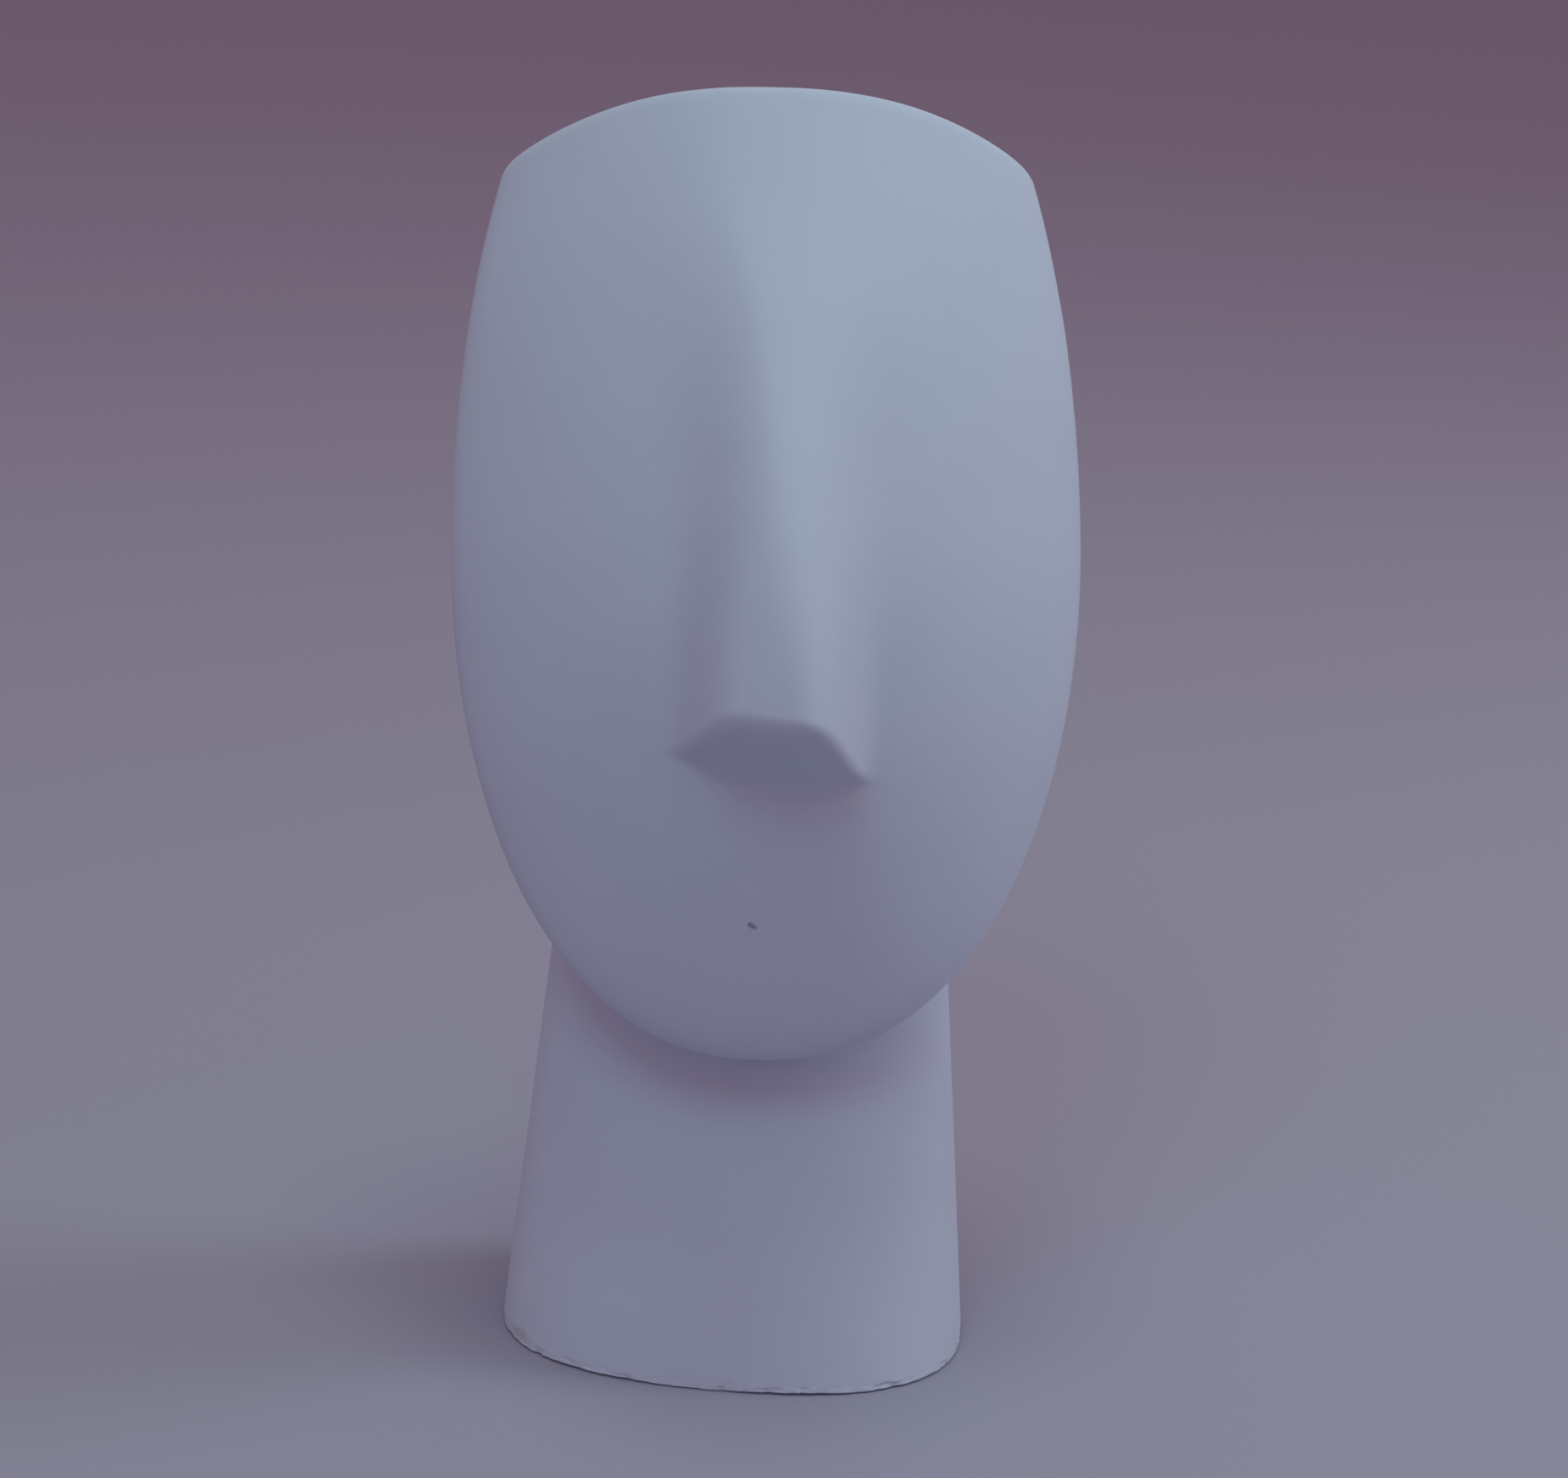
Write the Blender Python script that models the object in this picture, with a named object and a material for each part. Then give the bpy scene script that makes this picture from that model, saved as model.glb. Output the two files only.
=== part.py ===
# Abstract head on its neck, in the manner of early Cycladic marble heads: a shield-shaped
# face that leans back, one long wedge of a nose, no eyes and no mouth. It is cast in one
# piece and stands on the flat cut of its neck.
# Metres, +Z up. The statue looks along -Y and the origin is the middle of its underside.

from math import atan2, cos, pi, radians, sin, tan

import bmesh
import bpy
import numpy as np

# Neck: a column of rounded oblong sections, turned a little, that widens towards its foot
NECK_HEIGHT = 0.075
NECK_TOP_WIDTH = 0.0696
NECK_TOP_DEPTH = 0.03470
FOOT_WIDTH = 0.08293
FOOT_DEPTH = 0.06297
NECK_SQUARENESS = 2.474
NECK_TURN = -7.24
NECK_SETBACK = 0.01028
NECK_LEAST_DEPTH = 0.008
NECK_END = 0.125
NECK_END_ROUNDING = 0.020

# Head: a flattened egg that leans back and is tipped a little, its chin clear of the neck
HEAD_ABOVE_NECK = 0.06714
HEAD_SETBACK = 0.00769
HEAD_OFFSET = -0.00093
FACE_LEAN = 21.26
HEAD_TIP = -1.81
FACE_WIDTH = 0.10966
FACE_SQUARENESS = 2.307
FACE_BULGE = 0.03627
FACE_PEAK = 0.471
BACK_BULGE = 0.02892
TEMPLE_REACH = 0.11689
CHIN_REACH = 0.13746
CHIN_POWER = 2.012
JAW_BLEND = 0.003
NAPE_BLEND = 0.024
NAPE_DEPTH = 0.025

# Crown: an arched cut across the top of the head
CROWN_RISE = 0.07588
CROWN_ARCH = 0.01366
CROWN_ARCH_POWER = 2.45
CROWN_SLOPE = 0.64
CROWN_EDGE = 0.00214

# Nose: a soft-edged ridge that widens and rises from the brow to a slanted cut below
NOSE_ROOT_RISE = 0.05956
NOSE_ROOT_FADE = 0.105
NOSE_TIP_DROP = 0.0404
NOSE_REACH = 0.0192
NOSE_ROOT_OFFSET = -0.00240
NOSE_TIP_OFFSET = -0.00113
NOSE_SWEEP = 0.00582
NOSE_SWEEP_POWER = 5
NOSE_SWEEP_LIMIT = 1.3
NOSE_SHARE_LIMIT = 1.1
NOSE_LEFT_SPREADS = (0.01056, 0.0130)
NOSE_RIGHT_SPREADS = (0.01893, 0.0137)
NOSE_ROOT_FULLNESS = 1.35
NOSE_LEFT_FULLNESS = 5.4
NOSE_RIGHT_FULLNESS = 5.4
NOSE_FULLNESS_PACE = 1.4
NOSE_ROOT_ROUNDING = 1.31
NOSE_TIP_ROUNDING = 0.24
NOSE_CUT_SLANT = 0.0036
NOSE_CUT_CANT = 0.27
NOSE_CUT_CANT_EASE = 0.004
NOSE_CUT_FADE = 0.0045
NOSE_CUT_EDGE = 0.9
NOSE_CUT_FOOT = 0.49

# Brow: a low swelling that widens and sweeps on aside with the nose up the forehead
BROW_START = 0.04347
BROW_HEIGHT = 0.00052
BROW_LOW_SPREAD = 0.01038
BROW_HIGH_SPREAD = 0.01658
BROW_DRIFT = -0.00639
BROW_LIMIT = 1.2

# Skin: rings that rise from the foot to the crease under the jaw, dip under the chin, lean
# back with the face and close over the crown, one of them along the crown's edge
SIDES = 72
RINGS = 66
FRONT_CROWDING = 0.55
TURN_PACE = 0.007
DOME_ABOVE_WIDEST = 0.045
DIP_ANGLE = 34.0
DIP_START = 0.025
DIP_LEVEL = 0.070
LEAN_LEVEL = 0.122
CREASE_LIMIT = 0.120
DIP_SETBACK = 0.008
SETBACK_PACE = 1.6
SHARP_ANGLE = 50.0
WALK_STEPS = 1200
HALVINGS = 24
FAR_OUT = 0.12

PLASTER_COLOUR = (0.62, 0.66, 0.74, 1.0)
PLASTER_ROUGHNESS = 0.75

LEAN = radians(FACE_LEAN)
WIDEST_LEVEL = NECK_HEIGHT + HEAD_ABOVE_NECK
DOME_LEVEL = WIDEST_LEVEL + DOME_ABOVE_WIDEST * cos(LEAN)


def clear_scene():
    for item in list(bpy.data.objects):
        bpy.data.objects.remove(item, do_unlink=True)


def soft_least(first, second, width):
    """The lesser of two fields, with the crease between them filleted over a width."""
    overlap = np.maximum(width - np.abs(first - second), 0.0) / width
    return np.minimum(first, second) - overlap**2 * width / 4


def soft_most(first, second, width):
    """The greater of two fields, with the edge between them rounded over a width."""
    return -soft_least(-first, -second, width)


def oblong(first, second, power):
    """1 on a superellipse whose half axes are both 1, less inside it and more outside."""
    return (np.abs(first)**power + np.abs(second)**power)**(1 / power)


def signed_distance(share, *offsets):
    """Rough distance from a form's skin, where share is 1, along the line to its middle."""
    distance = np.sqrt(sum(offset**2 for offset in offsets))
    return distance * (1 - 1 / np.maximum(share, 1e-9))


def turned(first, second, angle):
    """A point's place on axes turned by an angle from its first axis to its second."""
    turn = radians(angle)
    return first * cos(turn) + second * sin(turn), second * cos(turn) - first * sin(turn)


def face_directions(x, y, z):
    """A point's place across the face, up along it and out of it, from the head's middle."""
    side, back, up = x - HEAD_OFFSET, y - HEAD_SETBACK, z - WIDEST_LEVEL
    along, out = back * sin(LEAN) + up * cos(LEAN), up * sin(LEAN) - back * cos(LEAN)
    across, along = turned(side, along, -HEAD_TIP)
    return across, along, out


def between(low, high, share):
    return low + (high - low) * share


def eased(share):
    share = np.clip(share, 0.0, 1.0)
    return share**2 * (3 - 2 * share)


def nose_share(along):
    """Where a level lies on the nose: 0 at its root and 1 at its tip."""
    return (NOSE_ROOT_RISE - along) / (NOSE_ROOT_RISE + NOSE_TIP_DROP)


def nose_crest(along):
    """Where the crest of the nose lies across the face; its root sweeps aside up the forehead."""
    share = nose_share(along)
    sweep = NOSE_SWEEP * np.clip(1 - share, 0.0, NOSE_SWEEP_LIMIT)**NOSE_SWEEP_POWER
    return between(NOSE_ROOT_OFFSET, NOSE_TIP_OFFSET, np.maximum(share, 0.0)) - sweep


def nose_height(across, along):
    """How far the nose stands out of the face."""
    share = nose_share(along)
    down = np.clip(share, 0.0, NOSE_SHARE_LIMIT)
    aside = across - nose_crest(along)
    spread = np.where(aside < 0, between(*NOSE_LEFT_SPREADS, down), between(*NOSE_RIGHT_SPREADS, down))
    tip_fullness = np.where(aside < 0, NOSE_LEFT_FULLNESS, NOSE_RIGHT_FULLNESS)
    fullness = between(NOSE_ROOT_FULLNESS, tip_fullness, down**NOSE_FULLNESS_PACE)
    rounding = between(NOSE_ROOT_ROUNDING, NOSE_TIP_ROUNDING, down)
    section = np.exp(rounding**fullness - np.hypot(aside / spread, rounding)**fullness)
    ridge = NOSE_REACH * (share + np.hypot(share, NOSE_ROOT_FADE)) / 2 * section
    leftward = NOSE_TIP_OFFSET - across
    above_cut = along + NOSE_TIP_DROP + NOSE_CUT_SLANT
    above_cut = above_cut - NOSE_CUT_CANT * (np.hypot(leftward, NOSE_CUT_CANT_EASE) + leftward) / 2
    cut = above_cut * NOSE_REACH / NOSE_CUT_SLANT / (ridge + NOSE_CUT_FADE)
    return ridge * soft_most(soft_least(cut, 1.0, NOSE_CUT_EDGE), 0.0, NOSE_CUT_FOOT)


def brow_height(across, along):
    """How far the brow stands out of the face."""
    up = np.clip((along - BROW_START) / (CROWN_RISE - BROW_START), 0.0, BROW_LIMIT)
    spread = between(BROW_LOW_SPREAD, BROW_HIGH_SPREAD, up)
    sideways = (across - nose_crest(along) - BROW_DRIFT * up) / spread
    return BROW_HEIGHT * up * np.exp(-sideways**2 / 2)


def egg_field(x, y, z):
    """Negative inside the head as it would be with its top uncut, nose and brow included."""
    across, along, out = face_directions(x, y, z)
    relief = nose_height(across, along) + brow_height(across, along)
    face = np.where(out > 0, np.maximum(out - relief, 0.0), out)
    sides = np.abs(2 * across / FACE_WIDTH)
    below = np.maximum(-along, 0) / CHIN_REACH
    shield = sides**FACE_SQUARENESS + (along / TEMPLE_REACH)**2 + below**CHIN_POWER
    bulge = np.where(out > 0, FACE_BULGE, BACK_BULGE) * (1 - FACE_PEAK * np.minimum(shield, 1))
    return signed_distance(np.sqrt(shield + (face / bulge)**2), across, along, face)


def crown_field(x, y, z):
    """Negative below the arched cut of the crown."""
    across, along, out = face_directions(x, y, z)
    arch = CROWN_ARCH * np.abs(2 * across / FACE_WIDTH)**CROWN_ARCH_POWER
    slope = tan(radians(CROWN_SLOPE)) * (out - FACE_BULGE)
    return along - CROWN_RISE + arch - slope


def head_field(x, y, z):
    return soft_most(egg_field(x, y, z), crown_field(x, y, z), CROWN_EDGE)


def neck_field(x, y, z):
    """Negative inside the neck, which tapers on up and ends softly inside the head."""
    climb = np.minimum(z, NECK_END) / NECK_HEIGHT
    half_width = between(FOOT_WIDTH, NECK_TOP_WIDTH, climb) / 2
    depth = np.maximum(between(FOOT_DEPTH, NECK_TOP_DEPTH, climb), NECK_LEAST_DEPTH)
    side, back = turned(x, y - NECK_SETBACK * climb, NECK_TURN)
    column = oblong(side / half_width, 2 * back / depth, NECK_SQUARENESS)
    return soft_most(signed_distance(column, side, back), z - NECK_END, NECK_END_ROUNDING)


def statue_field(x, y, z):
    """Head and neck together: a tight crease under the jaw, an easy one at the nape."""
    blend = between(JAW_BLEND, NAPE_BLEND, eased(y / NAPE_DEPTH))
    return soft_least(head_field(x, y, z), neck_field(x, y, z), blend)


def section_planes(level):
    """How far back each section's middle lies, and how steeply its front edge rises."""
    dome_y = HEAD_SETBACK + DOME_ABOVE_WIDEST * sin(LEAN)
    dipped = eased((level - DIP_START) / (DIP_LEVEL - DIP_START))
    leaned = eased((level - DIP_LEVEL) / (LEAN_LEVEL - DIP_LEVEL))
    above = np.clip((level - DIP_LEVEL) / (DOME_LEVEL - DIP_LEVEL), 0.0, 1.0)
    middle = DIP_SETBACK * eased(level / DIP_LEVEL) + (dome_y - DIP_SETBACK) * above**SETBACK_PACE
    return middle, LEAN * leaned - radians(DIP_ANGLE) * dipped * (1 - leaned)


def halved(low, high, is_low):
    """The place between two others where a test changes from true to false."""
    for _ in range(HALVINGS):
        half = (low + high) / 2
        below = is_low(half)
        low, high = np.where(below, half, low), np.where(below, high, half)
    return half


def skin_at(side, level, climb):
    """The skin that a ray meets: it starts at a level on the axis, turned aside and climbing."""
    middle, rise = section_planes(level)
    step_x = np.sin(side) * np.cos(climb)
    step_y = -np.cos(side) * np.cos(climb) * np.cos(rise) + np.sin(climb) * np.sin(rise)
    step_z = np.cos(side) * np.cos(climb) * np.sin(rise) + np.sin(climb) * np.cos(rise)

    def place(reach):
        return reach * step_x, middle + reach * step_y, level + reach * step_z

    reach = halved(0.0 * step_x, 0.0 * step_x + FAR_OUT, lambda reach: statue_field(*place(reach)) < 0)
    return place(reach)


def under_jaw(side, level):
    skin = skin_at(side, level, 0.0)
    return neck_field(*skin) < head_field(*skin)


def under_crown(side, climb):
    skin = skin_at(side, DOME_LEVEL, climb)
    return crown_field(*skin) < egg_field(*skin)


def skin_points(walk):
    """Skin at places on a walk: foot 0, jaw crease 1, dome's foot 2, crown edge 3, pole 4."""
    side = np.linspace(0, 2 * pi, SIDES, endpoint=False)
    side = side - FRONT_CROWDING * np.sin(side)
    crease = halved(DIP_START + 0 * side, CREASE_LIMIT + 0 * side, lambda level: under_jaw(side, level))
    edge = halved(0 * side, pi / 2 + 0 * side, lambda climb: under_crown(side, climb))
    neck, head, wall, top = (np.clip(walk[:, None] - stage, 0.0, 1.0) for stage in range(4))
    level = crease * neck + (DOME_LEVEL - crease) * head
    climb = edge * wall + (pi / 2 - edge) * top
    return np.stack(skin_at(side, level, climb), -1)


def unit_vectors(vectors):
    return vectors / np.maximum(np.linalg.norm(vectors, axis=2), 1e-12)[..., None]


def ring_places():
    """Places of the rings on the walk, close where the skin is long or turns sharply."""
    walk = np.linspace(0, 4, WALK_STEPS)
    skin = skin_points(walk)
    steps = np.diff(skin, axis=0)
    outward = unit_vectors(np.cross((np.roll(skin, -1, axis=1) - skin)[1:], steps))
    turn = np.arccos(np.clip((outward[1:] * outward[:-1]).sum(2), -1, 1))
    pace = np.linalg.norm(steps, axis=2).max(axis=1)
    pace[1:-1] += TURN_PACE * turn[:-1].max(axis=1)
    travelled = np.append(0.0, np.cumsum(pace))
    return np.interp(np.linspace(0, travelled[-1], RINGS), travelled, walk)


def build_statue(collection):
    """A ball whose rings are laid on the statue's skin, its lower pole in the underside."""
    rings = skin_points(ring_places())
    ball = bmesh.new()
    bmesh.ops.create_uvsphere(ball, u_segments=SIDES, v_segments=RINGS, radius=1.0)
    for vertex in ball.verts:
        ring = round((1 - np.arccos(np.clip(vertex.co.z, -1, 1)) / pi) * RINGS) - 1
        side = round(atan2(vertex.co.x, -vertex.co.y) / (2 * pi) * SIDES) % SIDES
        vertex.co = rings[ring, side] if ring >= 0 else (0.0, 0.0, 0.0)
    mesh = bpy.data.meshes.new("face_statue")
    ball.to_mesh(mesh)
    ball.free()
    mesh.shade_smooth()
    mesh.set_sharp_from_angle(angle=radians(SHARP_ANGLE))
    statue = bpy.data.objects.new("face_statue", mesh)
    collection.objects.link(statue)
    return statue


def plaster():
    material = bpy.data.materials.new("cast plaster")
    material.use_nodes = True
    shader = material.node_tree.nodes["Principled BSDF"]
    shader.inputs["Base Color"].default_value = PLASTER_COLOUR
    shader.inputs["Roughness"].default_value = PLASTER_ROUGHNESS
    shader.inputs["Metallic"].default_value = 0.0
    material.diffuse_color = PLASTER_COLOUR
    return material


def main():
    clear_scene()
    collection = bpy.data.collections.new("face statue")
    bpy.context.scene.collection.children.link(collection)
    statue = build_statue(collection)
    statue.data.materials.append(plaster())


main()
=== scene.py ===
from math import atan2, cos, pi, radians, sin, tan

import bmesh
import bpy
import numpy as np
from mathutils import Matrix, Vector


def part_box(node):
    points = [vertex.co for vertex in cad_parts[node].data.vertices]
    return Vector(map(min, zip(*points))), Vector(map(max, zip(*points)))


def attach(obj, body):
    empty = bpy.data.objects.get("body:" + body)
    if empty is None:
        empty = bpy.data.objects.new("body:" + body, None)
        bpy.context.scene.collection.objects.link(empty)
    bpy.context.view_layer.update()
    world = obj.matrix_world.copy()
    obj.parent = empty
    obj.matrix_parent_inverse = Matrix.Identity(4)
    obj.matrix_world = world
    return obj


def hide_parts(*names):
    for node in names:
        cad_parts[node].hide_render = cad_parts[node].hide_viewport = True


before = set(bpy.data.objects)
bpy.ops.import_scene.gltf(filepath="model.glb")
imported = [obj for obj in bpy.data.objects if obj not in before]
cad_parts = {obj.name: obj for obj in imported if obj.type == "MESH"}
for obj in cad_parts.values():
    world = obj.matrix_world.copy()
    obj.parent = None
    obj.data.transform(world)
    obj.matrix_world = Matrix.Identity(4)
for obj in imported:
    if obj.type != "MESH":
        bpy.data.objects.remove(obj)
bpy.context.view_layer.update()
print("frame loaded")

# the cast: all lengths in millimetres for a statue of this height, all angles in degrees
statue = {
    "height": 220.6,
    "neckHeight": 75.0, "neckTopWidth": 69.6, "neckTopDepth": 34.70,
    "footWidth": 82.93, "footDepth": 62.97,
    "neckSquareness": 2.474, "neckTurn": -7.24, "neckSetback": 10.28, "neckLeastDepth": 8.0,
    "neckEnd": 125.0, "neckEndRounding": 20.0,
    "headAboveNeck": 67.14, "headSetback": 7.69, "headOffset": -0.93,
    "faceLean": 21.26, "headTip": -1.81,
    "faceWidth": 109.66, "faceSquareness": 2.307, "faceBulge": 36.27, "facePeak": 0.471, "backBulge": 28.92,
    "templeReach": 116.89, "chinReach": 137.46, "chinPower": 2.012,
    "jawBlend": 3.0, "napeBlend": 24.0, "napeDepth": 25.0,
    "crownRise": 75.88, "crownArch": 13.66, "crownArchPower": 2.45, "crownSlope": 0.64,
    "crownEdge": 2.14,
    "noseRootRise": 59.56, "noseRootFade": 0.105, "noseTipDrop": 40.4, "noseReach": 19.2,
    "noseRootOffset": -2.40, "noseTipOffset": -1.13,
    "noseSweep": 5.82, "noseSweepPower": 5, "noseSweepLimit": 1.3, "noseShareLimit": 1.1,
    "noseLeftSpreads": (10.56, 13.0), "noseRightSpreads": (18.93, 13.7),
    "noseRootFullness": 1.35, "noseLeftFullness": 5.4, "noseRightFullness": 5.4,
    "noseFullnessPace": 1.4, "noseRootRounding": 1.31, "noseTipRounding": 0.24,
    "noseCutSlant": 3.6, "noseCutCant": 0.27, "noseCutCantEase": 4.0, "noseCutFade": 4.5,
    "noseCutEdge": 0.9, "noseCutFoot": 0.49,
    "browStart": 43.47, "browHeight": 0.52,
    "browLowSpread": 10.38, "browHighSpread": 16.58, "browDrift": -6.39, "browLimit": 1.2,
    # skin: its rings run level, dip under the chin, lean back with the face and close over the crown
    "sides": 300, "rings": 280, "frontCrowding": 0.5, "turnPace": 4.0, "domeAboveWidest": 45.0,
    "dipAngle": 34.0, "dipStart": 25.0, "dipLevel": 70.0, "leanLevel": 122.0, "creaseLimit": 120.0,
    "dipSetback": 8.0, "setbackPace": 1.6, "farOut": 120.0, "walkSteps": 1200, "halvings": 26,
    # foot: the cut underside stands on a ring inside its rim
    "rimRings": 12, "rimBand": 3.0, "rimStart": 0.2, "standInset": 2.2,
}

lowCorner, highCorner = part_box("face_statue")
unit = (highCorner.z - lowCorner.z) / statue["height"]  # metres in one millimetre of the list above
lean = radians(statue["faceLean"])
widestLevel = statue["neckHeight"] + statue["headAboveNeck"]
domeLevel = widestLevel + statue["domeAboveWidest"] * cos(lean)
domeSetback = statue["headSetback"] + statue["domeAboveWidest"] * sin(lean)


def softLeast(first, second, width):
    overlap = np.maximum(width - np.abs(first - second), 0.0) / width
    return np.minimum(first, second) - overlap**2 * width / 4


def softMost(first, second, width):
    return -softLeast(-first, -second, width)


def between(low, high, share):
    return low + (high - low) * share


def eased(share):
    share = np.clip(share, 0.0, 1.0)
    return share**2 * (3 - 2 * share)


def signedDistance(share, *offsets):
    distance = np.sqrt(sum(offset**2 for offset in offsets))
    return distance * (1 - 1 / np.maximum(share, 1e-9))


def turned(first, second, angle):  # the place on axes turned from the first to the second
    turn = radians(angle)
    return first * cos(turn) + second * sin(turn), second * cos(turn) - first * sin(turn)


def faceDirections(x, y, z):  # across the face, up along it and out of it
    side, back, up = x - statue["headOffset"], y - statue["headSetback"], z - widestLevel
    along, out = back * sin(lean) + up * cos(lean), up * sin(lean) - back * cos(lean)
    return *turned(side, along, -statue["headTip"]), out


def facePlace(across, along, out):  # the way back from a place on the face
    side, along = turned(across, along, statue["headTip"])
    back, up = along * sin(lean) - out * cos(lean), along * cos(lean) + out * sin(lean)
    return side + statue["headOffset"], back + statue["headSetback"], up + widestLevel


def noseShare(along):  # 0 at the root of the nose, 1 at its tip
    return (statue["noseRootRise"] - along) / (statue["noseRootRise"] + statue["noseTipDrop"])


def noseCrest(along):  # where the crest lies across the face; its root sweeps aside up the forehead
    s, share = statue, noseShare(along)
    sweep = s["noseSweep"] * np.clip(1 - share, 0.0, s["noseSweepLimit"])**s["noseSweepPower"]
    return between(s["noseRootOffset"], s["noseTipOffset"], np.maximum(share, 0.0)) - sweep


def noseHeight(across, along):
    s, share = statue, noseShare(along)
    down = np.clip(share, 0.0, s["noseShareLimit"])
    aside = across - noseCrest(along)
    leftSpread, rightSpread = between(*s["noseLeftSpreads"], down), between(*s["noseRightSpreads"], down)
    spread = np.where(aside < 0, leftSpread, rightSpread)
    tipFullness = np.where(aside < 0, s["noseLeftFullness"], s["noseRightFullness"])
    fullness = between(s["noseRootFullness"], tipFullness, down**s["noseFullnessPace"])
    rounding = between(s["noseRootRounding"], s["noseTipRounding"], down)
    section = np.exp(rounding**fullness - np.hypot(aside / spread, rounding)**fullness)
    ridge = s["noseReach"] * (share + np.hypot(share, s["noseRootFade"])) / 2 * section
    leftward = s["noseTipOffset"] - across
    aboveCut = along + s["noseTipDrop"] + s["noseCutSlant"]
    aboveCut = aboveCut - s["noseCutCant"] * (np.hypot(leftward, s["noseCutCantEase"]) + leftward) / 2
    cut = aboveCut * s["noseReach"] / s["noseCutSlant"] / (ridge + s["noseCutFade"])
    return ridge * softMost(softLeast(cut, 1.0, s["noseCutEdge"]), 0.0, s["noseCutFoot"])


def browHeight(across, along):
    s = statue
    up = np.clip((along - s["browStart"]) / (s["crownRise"] - s["browStart"]), 0.0, s["browLimit"])
    spread = between(s["browLowSpread"], s["browHighSpread"], up)
    sideways = (across - noseCrest(along) - s["browDrift"] * up) / spread
    return s["browHeight"] * up * np.exp(-sideways**2 / 2)


def shieldShare(across, along):  # 1 on the outline of the face, less inside it
    s = statue
    sides = np.abs(2 * across / s["faceWidth"])**s["faceSquareness"]
    low = np.maximum(-along, 0) / s["chinReach"]
    return sides + (along / s["templeReach"])**2 + low**s["chinPower"]


def eggField(x, y, z):  # negative inside the head as it would be with its top uncut
    s = statue
    across, along, out = faceDirections(x, y, z)
    relief = noseHeight(across, along) + browHeight(across, along)
    face = np.where(out > 0, np.maximum(out - relief, 0.0), out)
    shield = shieldShare(across, along)
    bulge = np.where(out > 0, s["faceBulge"], s["backBulge"])
    bulge = bulge * (1 - s["facePeak"] * np.minimum(shield, 1))
    return signedDistance(np.sqrt(shield + (face / bulge)**2), across, along, face)


def crownField(x, y, z):  # negative below the arched cut of the crown
    s = statue
    across, along, out = faceDirections(x, y, z)
    arch = s["crownArch"] * np.abs(2 * across / s["faceWidth"])**s["crownArchPower"]
    slope = tan(radians(s["crownSlope"])) * (out - s["faceBulge"])
    return along - s["crownRise"] + arch - slope


def headField(x, y, z):
    return softMost(eggField(x, y, z), crownField(x, y, z), statue["crownEdge"])


def neckField(x, y, z):  # negative inside the neck, which tapers on up and ends inside the head
    s = statue
    climb = np.minimum(z, s["neckEnd"]) / s["neckHeight"]
    halfWidth = between(s["footWidth"], s["neckTopWidth"], climb) / 2
    halfDepth = np.maximum(between(s["footDepth"], s["neckTopDepth"], climb), s["neckLeastDepth"]) / 2
    side, back = turned(x, y - s["neckSetback"] * climb, s["neckTurn"])
    power = s["neckSquareness"]
    share = (np.abs(side / halfWidth)**power + np.abs(back / halfDepth)**power)**(1 / power)
    return softMost(signedDistance(share, side, back), z - s["neckEnd"], s["neckEndRounding"])


def statueField(x, y, z):
    blend = between(statue["jawBlend"], statue["napeBlend"], eased(y / statue["napeDepth"]))
    return softLeast(headField(x, y, z), neckField(x, y, z), blend)


def sectionPlanes(level):  # how far back a section's middle lies, how steeply its front edge rises
    s = statue
    dipped = eased((level - s["dipStart"]) / (s["dipLevel"] - s["dipStart"]))
    leaned = eased((level - s["dipLevel"]) / (s["leanLevel"] - s["dipLevel"]))
    above = np.clip((level - s["dipLevel"]) / (domeLevel - s["dipLevel"]), 0.0, 1.0)
    middle = s["dipSetback"] * eased(level / s["dipLevel"])
    middle = middle + (domeSetback - s["dipSetback"]) * above**s["setbackPace"]
    return middle, lean * leaned - radians(s["dipAngle"]) * dipped * (1 - leaned)


def halved(low, high, isLow):  # the place where a test changes from true to false
    for _ in range(statue["halvings"]):
        half = (low + high) / 2
        below = isLow(half)
        low, high = np.where(below, half, low), np.where(below, high, half)
    return half


def skinAt(side, level, climb):
    middle, rise = sectionPlanes(level)
    stepX = np.sin(side) * np.cos(climb)
    stepY = -np.cos(side) * np.cos(climb) * np.cos(rise) + np.sin(climb) * np.sin(rise)
    stepZ = np.cos(side) * np.cos(climb) * np.sin(rise) + np.sin(climb) * np.cos(rise)

    def place(reach):
        return reach * stepX, middle + reach * stepY, level + reach * stepZ

    near = 0.0 * stepX
    return place(halved(near, near + statue["farOut"], lambda reach: statueField(*place(reach)) < 0))


def underJaw(side, level):
    skin = skinAt(side, level, 0.0)
    return neckField(*skin) < headField(*skin)


def underCrown(side, climb):
    skin = skinAt(side, domeLevel, climb)
    return crownField(*skin) < eggField(*skin)


def skinPoints(walk):  # foot 0, jaw crease 1, foot of the dome 2, crown edge 3, pole 4
    s = statue
    side = np.linspace(0, 2 * pi, s["sides"], endpoint=False)
    side = side - s["frontCrowding"] * np.sin(side)
    start, level = s["dipStart"] + 0 * side, s["creaseLimit"] + 0 * side
    crease = halved(start, level, lambda level: underJaw(side, level))
    edge = halved(0 * side, pi / 2 + 0 * side, lambda climb: underCrown(side, climb))
    neck, head, wall, top = (np.clip(walk[:, None] - stage, 0.0, 1.0) for stage in range(4))
    level = crease * neck + (domeLevel - crease) * head
    climb = edge * wall + (pi / 2 - edge) * top
    return np.stack(skinAt(side, level, climb), -1)


def unitVectors(vectors):
    return vectors / np.maximum(np.linalg.norm(vectors, axis=2), 1e-9)[..., None]


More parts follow.
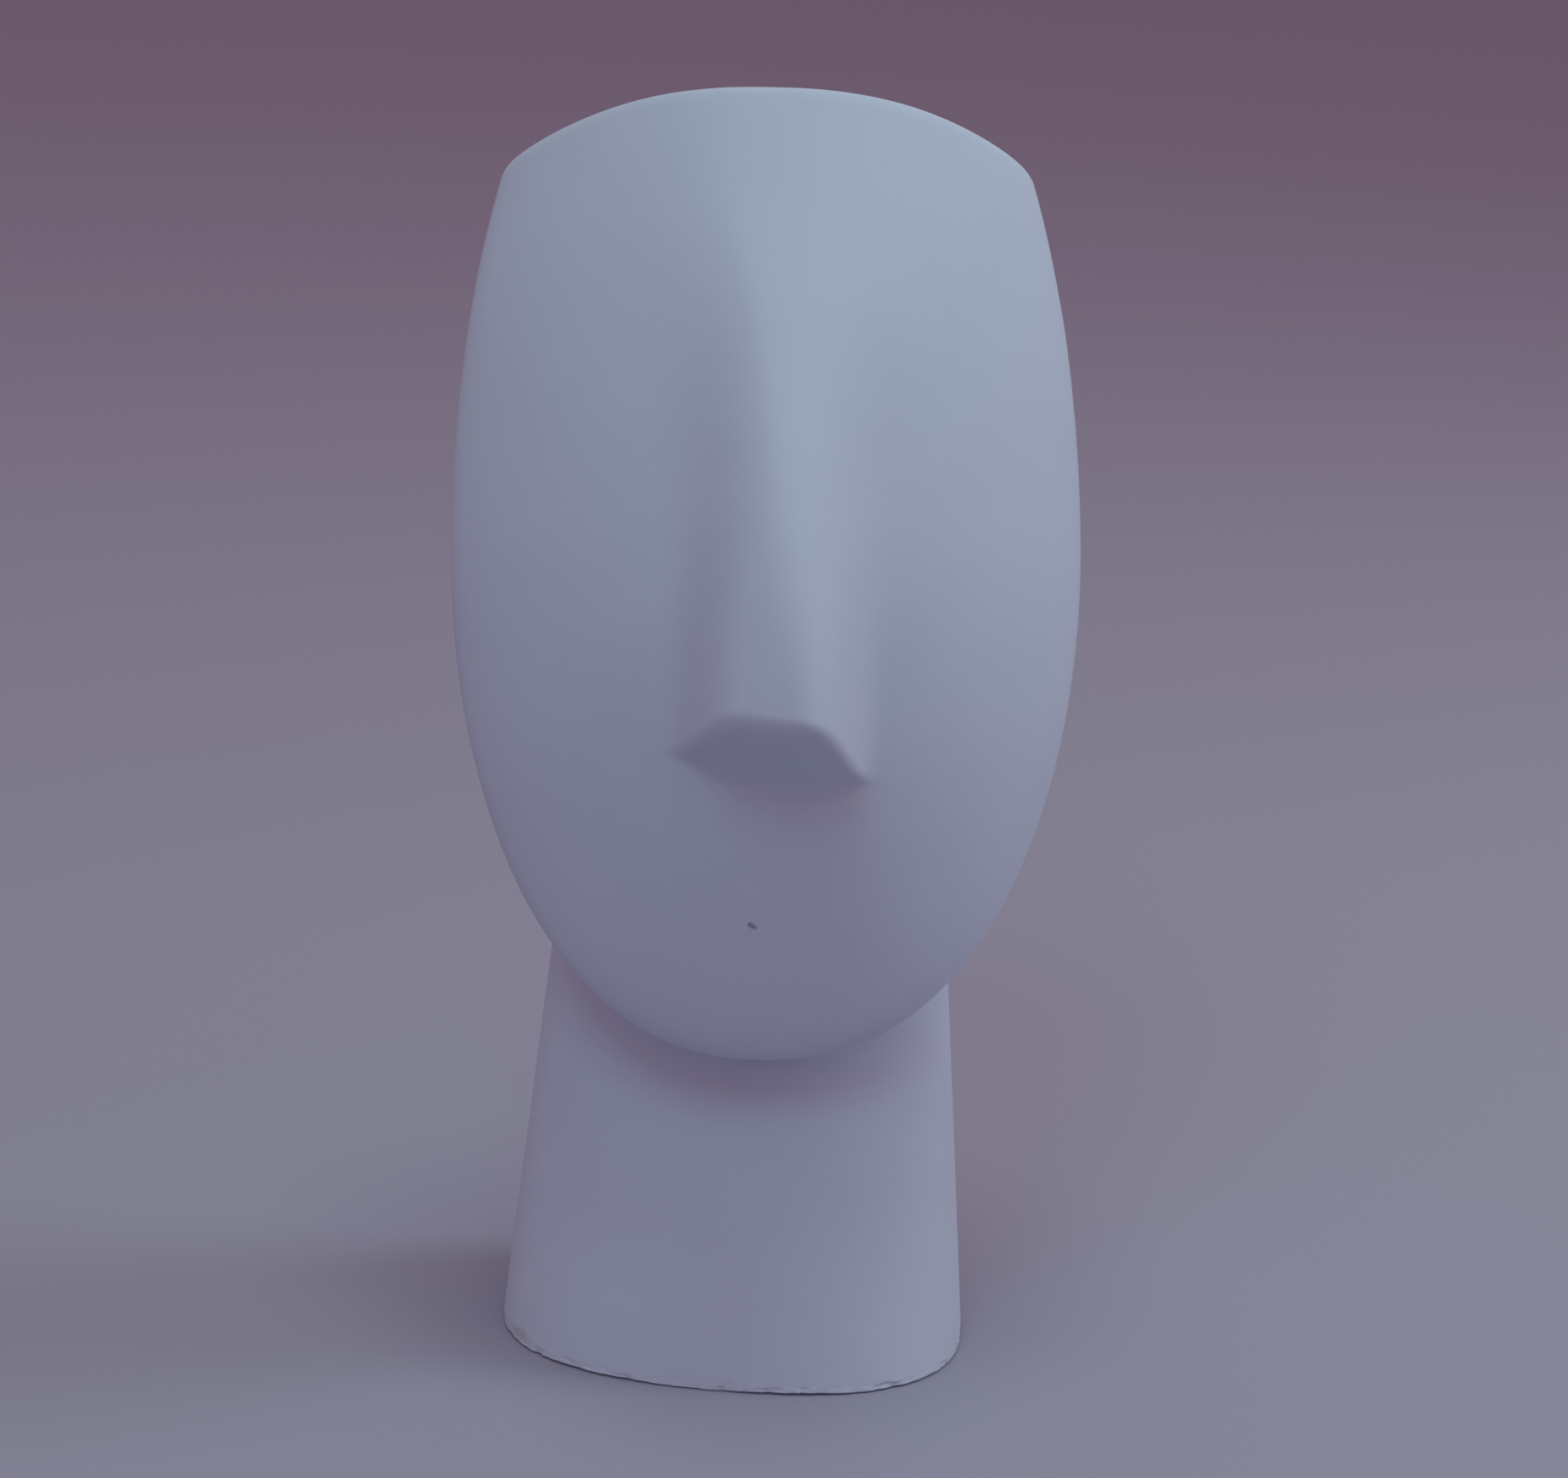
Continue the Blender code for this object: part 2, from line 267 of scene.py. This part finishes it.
def ringPlaces():  # rings stand close where the skin is long or turns sharply, and at the rim
    s = statue
    walk = np.linspace(0, 4, s["walkSteps"])
    skin = skinPoints(walk)
    steps = np.diff(skin, axis=0)
    outward = unitVectors(np.cross((np.roll(skin, -1, axis=1) - skin)[1:], steps))
    turn = np.arccos(np.clip((outward[1:] * outward[:-1]).sum(2), -1, 1))
    pace = np.linalg.norm(steps, axis=2).max(axis=1)
    pace[1:-1] += s["turnPace"] * turn[:-1].max(axis=1)
    travelled = np.append(0.0, np.cumsum(pace))
    paced = np.interp(np.linspace(0, travelled[-1], s["rings"] - s["rimRings"]), travelled, walk)
    rim = (np.arange(s["rimRings"]) + s["rimStart"]) / s["rimRings"] * s["rimBand"] / s["creaseLimit"]
    return np.sort(np.append(paced, rim))


def castSkin():
    rings = skinPoints(ringPlaces()) * unit
    rings[0] *= 1 - 2 * statue["standInset"] / statue["footDepth"]
    sides, ringCount = statue["sides"], statue["rings"]
    ball = bmesh.new()
    bmesh.ops.create_uvsphere(ball, u_segments=sides, v_segments=ringCount, radius=1.0)
    for vertex in ball.verts:
        ring = round((1 - np.arccos(np.clip(vertex.co.z, -1, 1)) / pi) * ringCount) - 1
        side = round(atan2(vertex.co.x, -vertex.co.y) / (2 * pi) * sides) % sides
        vertex.co = rings[ring, side] if ring >= 0 else (0.0, 0.0, 0.0)
    mesh = bpy.data.meshes.new("face statue skin")
    ball.to_mesh(mesh)
    ball.free()
    mesh.shade_smooth()
    cast = bpy.data.objects.new("cast_head", mesh)
    bpy.context.scene.collection.objects.link(cast)
    return cast


def addNode(tree, kind, sockets=None, **settings):
    node = tree.nodes.new(kind)
    for name, value in settings.items():
        setattr(node, name, value)
    for name, value in (sockets or {}).items():
        if isinstance(value, bpy.types.NodeSocket):
            tree.links.new(value, node.inputs[name])
        else:
            node.inputs[name].default_value = value
    return node


def maths(tree, operation, first, second=0.0):
    return addNode(tree, "ShaderNodeMath", {0: first, 1: second}, operation=operation).outputs[0]


def vectorMaths(tree, operation, first, second=(0.0, 0.0, 0.0)):
    sockets = {0: first, "Scale" if operation == "SCALE" else 1: second}
    node = addNode(tree, "ShaderNodeVectorMath", sockets, operation=operation)
    return node.outputs["Value" if operation in ("DISTANCE", "LENGTH") else "Vector"]


def fade(tree, value, start, end):  # 0 at start, 1 at end, smooth between
    sockets = {"Value": value, "From Min": start, "From Max": end}
    node = addNode(tree, "ShaderNodeMapRange", sockets, interpolation_type="SMOOTHSTEP")
    return node.outputs["Result"]


def noise(tree, vector, scale, detail, roughness=0.5):
    sockets = {"Vector": vector, "Scale": scale, "Detail": detail, "Roughness": roughness}
    return addNode(tree, "ShaderNodeTexNoise", sockets).outputs[0]


# hand finish of the cast, in millimetres; each value is an input of its node tree
handFinish = {
    "Swell height": 0.10, "Swell size": 26.0,
    "Scrape height": 0.025, "Scrape size": 5.0,
    "Rim band": 2.2, "Rim lift": 0.5, "Rim lift size": 28.0, "Rim ragged": 0.22, "Rim ragged size": 1.8,
    "Rim nick": 0.5, "Rim nick size": 3.0,
    "Pinhole width": 1.15, "Pinhole depth": 1.0, "Dimple width": 2.2, "Dimple depth": 0.1,
    "Seed": 11.0,
}
# a short slit of a pinhole on the chin and a dimple above it, placed across and along the face
pinhole = {
    "across": -3.35, "along": -67.1, "endAcross": -2.75, "endAlong": -67.6,
    "dimpleAcross": -3.0, "dimpleAlong": -60.1,
    "reach": 3.2, "fineness": 5,  # the skin within this reach is cut finer
    "edgeShare": 0.5, "floorShare": 0.2,  # where its wall starts and ends, as shares of its width
}
# how fine the noise of the finish is, and between which of its levels each kind fades in
finishNoise = {
    "swellDetail": 1.0, "scrapeDetail": 2.0, "rimDetail": 2.0, "rimRoughness": 0.6,
    "nickLevels": (0.52, 0.75), "raggedLevels": (0.3, 0.7), "liftLevels": (0.25, 0.6),
    "standClearance": 0.00001,  # metres: what lies lower is the cut underside and stays flat
}


def onFace(across, along):
    shield = shieldShare(across, along)
    out = statue["faceBulge"] * np.sqrt(1 - shield) * (1 - statue["facePeak"] * shield)
    return Vector(facePlace(across, along, out)) * unit


def refineNear(cast, place):  # small faces round the pinhole, so that it is cut and not painted
    mesh = bmesh.new()
    mesh.from_mesh(cast.data)
    reach = pinhole["reach"] * unit
    near = [face for face in mesh.faces if (face.calc_center_median() - place).length < reach]
    edges = list({edge for face in near for edge in face.edges})
    bmesh.ops.subdivide_edges(mesh, edges=edges, cuts=pinhole["fineness"], use_grid_fill=True)
    bmesh.ops.triangulate(mesh, faces=[face for face in mesh.faces if len(face.verts) > 4])
    mesh.to_mesh(cast.data)
    mesh.free()


def handFinishTree(material):
    tree = bpy.data.node_groups.new("castSurface", "GeometryNodeTree")
    tree.interface.new_socket("Geometry", in_out="INPUT", socket_type="NodeSocketGeometry")
    for name in handFinish:
        tree.interface.new_socket(name, in_out="INPUT", socket_type="NodeSocketFloat")
    for name in ("Pinhole start", "Pinhole end", "Dimple place"):
        tree.interface.new_socket(name, in_out="INPUT", socket_type="NodeSocketVector")
    tree.interface.new_socket("Geometry", in_out="OUTPUT", socket_type="NodeSocketGeometry")
    given = addNode(tree, "NodeGroupInput").outputs
    place = addNode(tree, "GeometryNodeInputPosition").outputs[0]
    outward = addNode(tree, "GeometryNodeInputNormal").outputs[0]
    height = addNode(tree, "ShaderNodeSeparateXYZ", {0: place}).outputs["Z"]
    seed = addNode(tree, "ShaderNodeCombineXYZ", {"X": given["Seed"]}).outputs[0]
    shifted = vectorMaths(tree, "ADD", place, seed)

    def waves(size, amount, detail):
        scale = maths(tree, "DIVIDE", 1.0, given[size])
        level = maths(tree, "SUBTRACT", noise(tree, shifted, scale, detail), 0.5)
        return maths(tree, "MULTIPLY", level, maths(tree, "MULTIPLY", given[amount], 2.0))

    def rimNoise(size, levels):
        scale = maths(tree, "DIVIDE", 1.0, given[size])
        rough = noise(tree, shifted, scale, finishNoise["rimDetail"], finishNoise["rimRoughness"])
        return fade(tree, rough, *levels)

    swell = maths(tree, "ADD", waves("Swell size", "Swell height", finishNoise["swellDetail"]),
                  waves("Scrape size", "Scrape height", finishNoise["scrapeDetail"]))
    aboveRim = fade(tree, height, 0.0, given["Rim band"])
    nearRim = maths(tree, "SUBTRACT", 1.0, aboveRim)
    nicks = maths(tree, "MULTIPLY", rimNoise("Rim nick size", finishNoise["nickLevels"]), given["Rim nick"])
    ragged = maths(tree, "MULTIPLY", rimNoise("Rim ragged size", finishNoise["raggedLevels"]),
                   given["Rim ragged"])
    worn = maths(tree, "MULTIPLY", maths(tree, "ADD", nicks, ragged), nearRim)
    bothEnds = vectorMaths(tree, "ADD", given["Pinhole start"], given["Pinhole end"])
    spots = (given["Pinhole start"], vectorMaths(tree, "SCALE", bothEnds, 0.5), given["Pinhole end"])
    ends = [vectorMaths(tree, "DISTANCE", place, spot) for spot in spots]
    nearest = maths(tree, "MINIMUM", maths(tree, "MINIMUM", ends[0], ends[1]), ends[2])
    inHole = fade(tree, nearest, maths(tree, "MULTIPLY", given["Pinhole width"], pinhole["edgeShare"]),
                  maths(tree, "MULTIPLY", given["Pinhole width"], pinhole["floorShare"]))
    inDimple = fade(tree, vectorMaths(tree, "DISTANCE", place, given["Dimple place"]),
                    maths(tree, "DIVIDE", given["Dimple width"], 2.0), 0.0)
    sunk = maths(tree, "ADD", maths(tree, "MULTIPLY", inHole, given["Pinhole depth"]),
                 maths(tree, "MULTIPLY", inDimple, given["Dimple depth"]))
    rise = maths(tree, "SUBTRACT", maths(tree, "SUBTRACT", swell, worn), sunk)
    clearOfFoot = fade(tree, height, 0.0, finishNoise["standClearance"])
    freedom = {"X": clearOfFoot, "Y": clearOfFoot, "Z": aboveRim}
    upright = addNode(tree, "ShaderNodeCombineXYZ", freedom).outputs[0]
    sideways = vectorMaths(tree, "SCALE", vectorMaths(tree, "MULTIPLY", outward, upright), rise)
    lift = maths(tree, "MULTIPLY", rimNoise("Rim lift size", finishNoise["liftLevels"]), given["Rim lift"])
    lift = maths(tree, "MULTIPLY", lift, maths(tree, "MULTIPLY", clearOfFoot, nearRim))
    raised = addNode(tree, "ShaderNodeCombineXYZ", {"Z": lift}).outputs[0]
    offset = vectorMaths(tree, "ADD", sideways, raised)
    moved = addNode(tree, "GeometryNodeSetPosition",
                    {"Geometry": given["Geometry"], "Offset": offset}).outputs[0]
    real = addNode(tree, "GeometryNodeRealizeInstances", {"Geometry": moved}).outputs[0]
    coated = addNode(tree, "GeometryNodeSetMaterial", {"Geometry": real, "Material": material}).outputs[0]
    addNode(tree, "NodeGroupOutput", {"Geometry": coated})
    return tree


def applyHandFinish(cast, material):
    places = {"Pinhole start": onFace(pinhole["across"], pinhole["along"]),
              "Pinhole end": onFace(pinhole["endAcross"], pinhole["endAlong"]),
              "Dimple place": onFace(pinhole["dimpleAcross"], pinhole["dimpleAlong"])}
    refineNear(cast, places["Pinhole start"])
    tree = handFinishTree(material)
    modifier = cast.modifiers.new("hand finish", "NODES")
    modifier.node_group = tree
    identifiers = {item.name: item.identifier for item in tree.interface.items_tree
                   if item.in_out == "INPUT"}
    for name, value in handFinish.items():
        modifier[identifiers[name]] = value * (1.0 if name == "Seed" else unit)
    for name, place in places.items():
        modifier[identifiers[name]] = place
    depsgraph = bpy.context.evaluated_depsgraph_get()
    finished = bpy.data.meshes.new_from_object(cast.evaluated_get(depsgraph), depsgraph=depsgraph)
    cast.modifiers.remove(modifier)
    cast.data = finished
    cast.data.shade_smooth()


# plaster: linear colours, lengths in millimetres, marks placed across the front and up from the foot
plaster = {
    "colour": (0.60, 0.66, 0.775), "paleColour": (0.612, 0.672, 0.787), "speckColour": (0.56, 0.615, 0.72),
    "mottle": {"size": 22.0, "detail": 4.0, "roughness": 0.55}, "mottleLevels": (0.35, 0.65),
    "speck": {"size": 1.1, "detail": 2.0, "roughness": 0.6}, "speckLevels": (0.66, 0.8), "speckShare": 0.4,
    "grain": {"size": 0.45, "detail": 3.0, "roughness": 0.65}, "grainHeight": 0.016,
    "roughness": 0.82, "roughnessSwing": 0.06, "ior": 1.45, "specularLevel": 0.3,
    "ragged": {"size": 1.1, "detail": 3.0, "roughness": 0.7},  # noise that frays the marks
    "markDepth": 10.0, "markLevels": (1.5, 0.6),  # how far forward and across their edges marks fade in
    "marks": {
        "footStain": {"across": -38.3, "up": 1.8, "reach": (2.4, 1.5), "colour": (0.42, 0.41, 0.38),
                      "strength": 0.5},
        "neckScuff": {"across": 18.5, "up": 17.5, "reach": (3.0, 1.3), "colour": (0.70, 0.74, 0.82),
                      "strength": 0.25},
        "footScuff": {"across": 23.0, "up": 10.7, "reach": (4.5, 1.5), "colour": (0.70, 0.74, 0.82),
                      "strength": 0.25},
    },
}


def plasterMaterial():
    p = plaster
    material = bpy.data.materials.new("cast plaster")
    material.use_nodes = True
    tree = material.node_tree
    shader = tree.nodes["Principled BSDF"]
    place = addNode(tree, "ShaderNodeTexCoord").outputs["Object"]

    def patches(kind):
        return noise(tree, place, 1 / (p[kind]["size"] * unit), p[kind]["detail"], p[kind]["roughness"])

    def blend(share, under, over):
        sockets = {"Factor": share, 6: under, 7: (*over, 1)}  # 6 and 7 are the colours A and B
        return addNode(tree, "ShaderNodeMix", sockets, data_type="RGBA").outputs[2]

    mottle = patches("mottle")
    colour = blend(fade(tree, mottle, *p["mottleLevels"]), (*p["colour"], 1), p["paleColour"])
    speck = fade(tree, patches("speck"), *p["speckLevels"])
    colour = blend(maths(tree, "MULTIPLY", speck, p["speckShare"]), colour, p["speckColour"])
    ragged = patches("ragged")
    back = addNode(tree, "ShaderNodeSeparateXYZ", {0: place}).outputs["Y"]
    front = fade(tree, back, 0.0, -p["markDepth"] * unit)
    for mark in p["marks"].values():
        middle = (mark["across"] * unit, 0.0, mark["up"] * unit)
        squeeze = (1 / (mark["reach"][0] * unit), 0.0, 1 / (mark["reach"][1] * unit))
        offset = vectorMaths(tree, "MULTIPLY", vectorMaths(tree, "SUBTRACT", place, middle), squeeze)
        worn = maths(tree, "ADD", vectorMaths(tree, "LENGTH", offset), ragged)
        share = maths(tree, "MULTIPLY", fade(tree, worn, *p["markLevels"]), mark["strength"])
        colour = blend(maths(tree, "MULTIPLY", share, front), colour, mark["colour"])
    tree.links.new(colour, shader.inputs["Base Color"])
    swing = maths(tree, "MULTIPLY", maths(tree, "SUBTRACT", mottle, 0.5), p["roughnessSwing"] * 2)
    tree.links.new(maths(tree, "ADD", swing, p["roughness"]), shader.inputs["Roughness"])
    relief = {"Height": patches("grain"), "Distance": p["grainHeight"] * unit, "Strength": 1.0}
    tree.links.new(addNode(tree, "ShaderNodeBump", relief).outputs[0], shader.inputs["Normal"])
    shader.inputs["IOR"].default_value = p["ior"]
    shader.inputs["Specular IOR Level"].default_value = p["specularLevel"]
    return material


cast = castSkin()
print("skin laid")
applyHandFinish(cast, plasterMaterial())
print("hand finish applied:", sum(len(face.vertices) - 2 for face in cast.data.polygons), "triangles")

# camera of the photograph: lengths in millimetres, angles in degrees
view = {
    "distance": 664.47, "height": 292.15, "round": 2.74,
    "pitch": 15.36, "roll": 3.16, "pan": 0.3,
    "focalPixels": 4655.97, "pixelsAcross": 1847, "filmWidth": 36.0, "nearClip": 10.0,
}


def photoCamera():
    v = view
    pan, pitch, roll = (radians(v[name]) for name in ("pan", "pitch", "roll"))
    aside = Matrix.Rotation(-radians(v["round"]), 3, "Z")
    forward = Vector((sin(pan) * cos(pitch), cos(pan) * cos(pitch), -sin(pitch)))
    levelRight = Vector((cos(pan), -sin(pan), 0.0))
    levelUp = Vector((sin(pan) * sin(pitch), cos(pan) * sin(pitch), cos(pitch)))
    right = levelRight * cos(roll) + levelUp * sin(roll)
    up = levelUp * cos(roll) - levelRight * sin(roll)
    place = aside @ Vector((0.0, -v["distance"], v["height"])) * unit
    axes = Matrix([aside @ right, aside @ up, aside @ -forward]).transposed()
    lens = bpy.data.cameras.new("photo camera")
    lens.sensor_fit = "HORIZONTAL"
    lens.sensor_width = v["filmWidth"]
    lens.lens = v["focalPixels"] / v["pixelsAcross"] * v["filmWidth"]
    lens.clip_start = v["nearClip"] / 1000
    camera = bpy.data.objects.new("photo camera", lens)
    camera.matrix_world = Matrix.Translation(place) @ axes.to_4x4()
    bpy.context.scene.collection.objects.link(camera)
    bpy.context.scene.camera = camera


# studio: lamps by direction round the statue (0 the front, 90 its right in the picture), metres
studio = {
    "floorSize": 40.0, "floorColour": (0.40, 0.385, 0.47), "floorRoughness": 0.9, "floorSpecular": 0.1,
    "worldColour": (1.0, 0.657, 0.835), "worldStrength": 0.34,
    "lamps": {
        "overhead": {"round": 0.0, "rise": 88.0, "distance": 1.3, "size": 0.5, "watts": 3.33,
                     "colour": (0.66, 1.0, 0.91)},
        "right": {"round": 95.0, "rise": 30.0, "distance": 1.3, "size": 0.5, "watts": 3.99,
                  "colour": (0.75, 0.995, 1.0)},
        "frontLeft": {"round": -20.0, "rise": 50.0, "distance": 1.3, "size": 0.5, "watts": 2.06,
                      "colour": (0.36, 0.95, 1.0)},
    },
}


def studioStage():
    bpy.ops.mesh.primitive_plane_add(size=studio["floorSize"])
    floor = bpy.context.object
    floor.name = "studio_floor"
    paint = bpy.data.materials.new("studio floor")
    paint.use_nodes = True
    shader = paint.node_tree.nodes["Principled BSDF"]
    shader.inputs["Base Color"].default_value = (*studio["floorColour"], 1)
    shader.inputs["Roughness"].default_value = studio["floorRoughness"]
    shader.inputs["Specular IOR Level"].default_value = studio["floorSpecular"]
    floor.data.materials.append(paint)
    world = bpy.data.worlds.new("studio")
    world.use_nodes = True
    sky = world.node_tree.nodes["Background"]
    sky.inputs["Color"].default_value = (*studio["worldColour"], 1)
    sky.inputs["Strength"].default_value = studio["worldStrength"]
    bpy.context.scene.world = world
    bpy.context.scene.view_settings.view_transform = "Standard"
    middle = Vector((0.0, 0.0, highCorner.z / 2))
    for name, lamp in studio["lamps"].items():
        light = bpy.data.lights.new(name, "AREA")
        light.shape = "DISK"
        light.size = lamp["size"]
        light.energy = lamp["watts"]
        light.color = lamp["colour"]
        around, rise = radians(lamp["round"]), radians(lamp["rise"])
        away = Vector((sin(around) * cos(rise), -cos(around) * cos(rise), sin(rise)))
        holder = bpy.data.objects.new(name, light)
        holder.location = middle + away * lamp["distance"]
        holder.rotation_euler = away.to_track_quat("Z", "Y").to_euler()
        bpy.context.scene.collection.objects.link(holder)


photoCamera()
studioStage()
print("camera and studio set")

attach(cast, "root")
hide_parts("face_statue")

print("pieces bound to the frame")
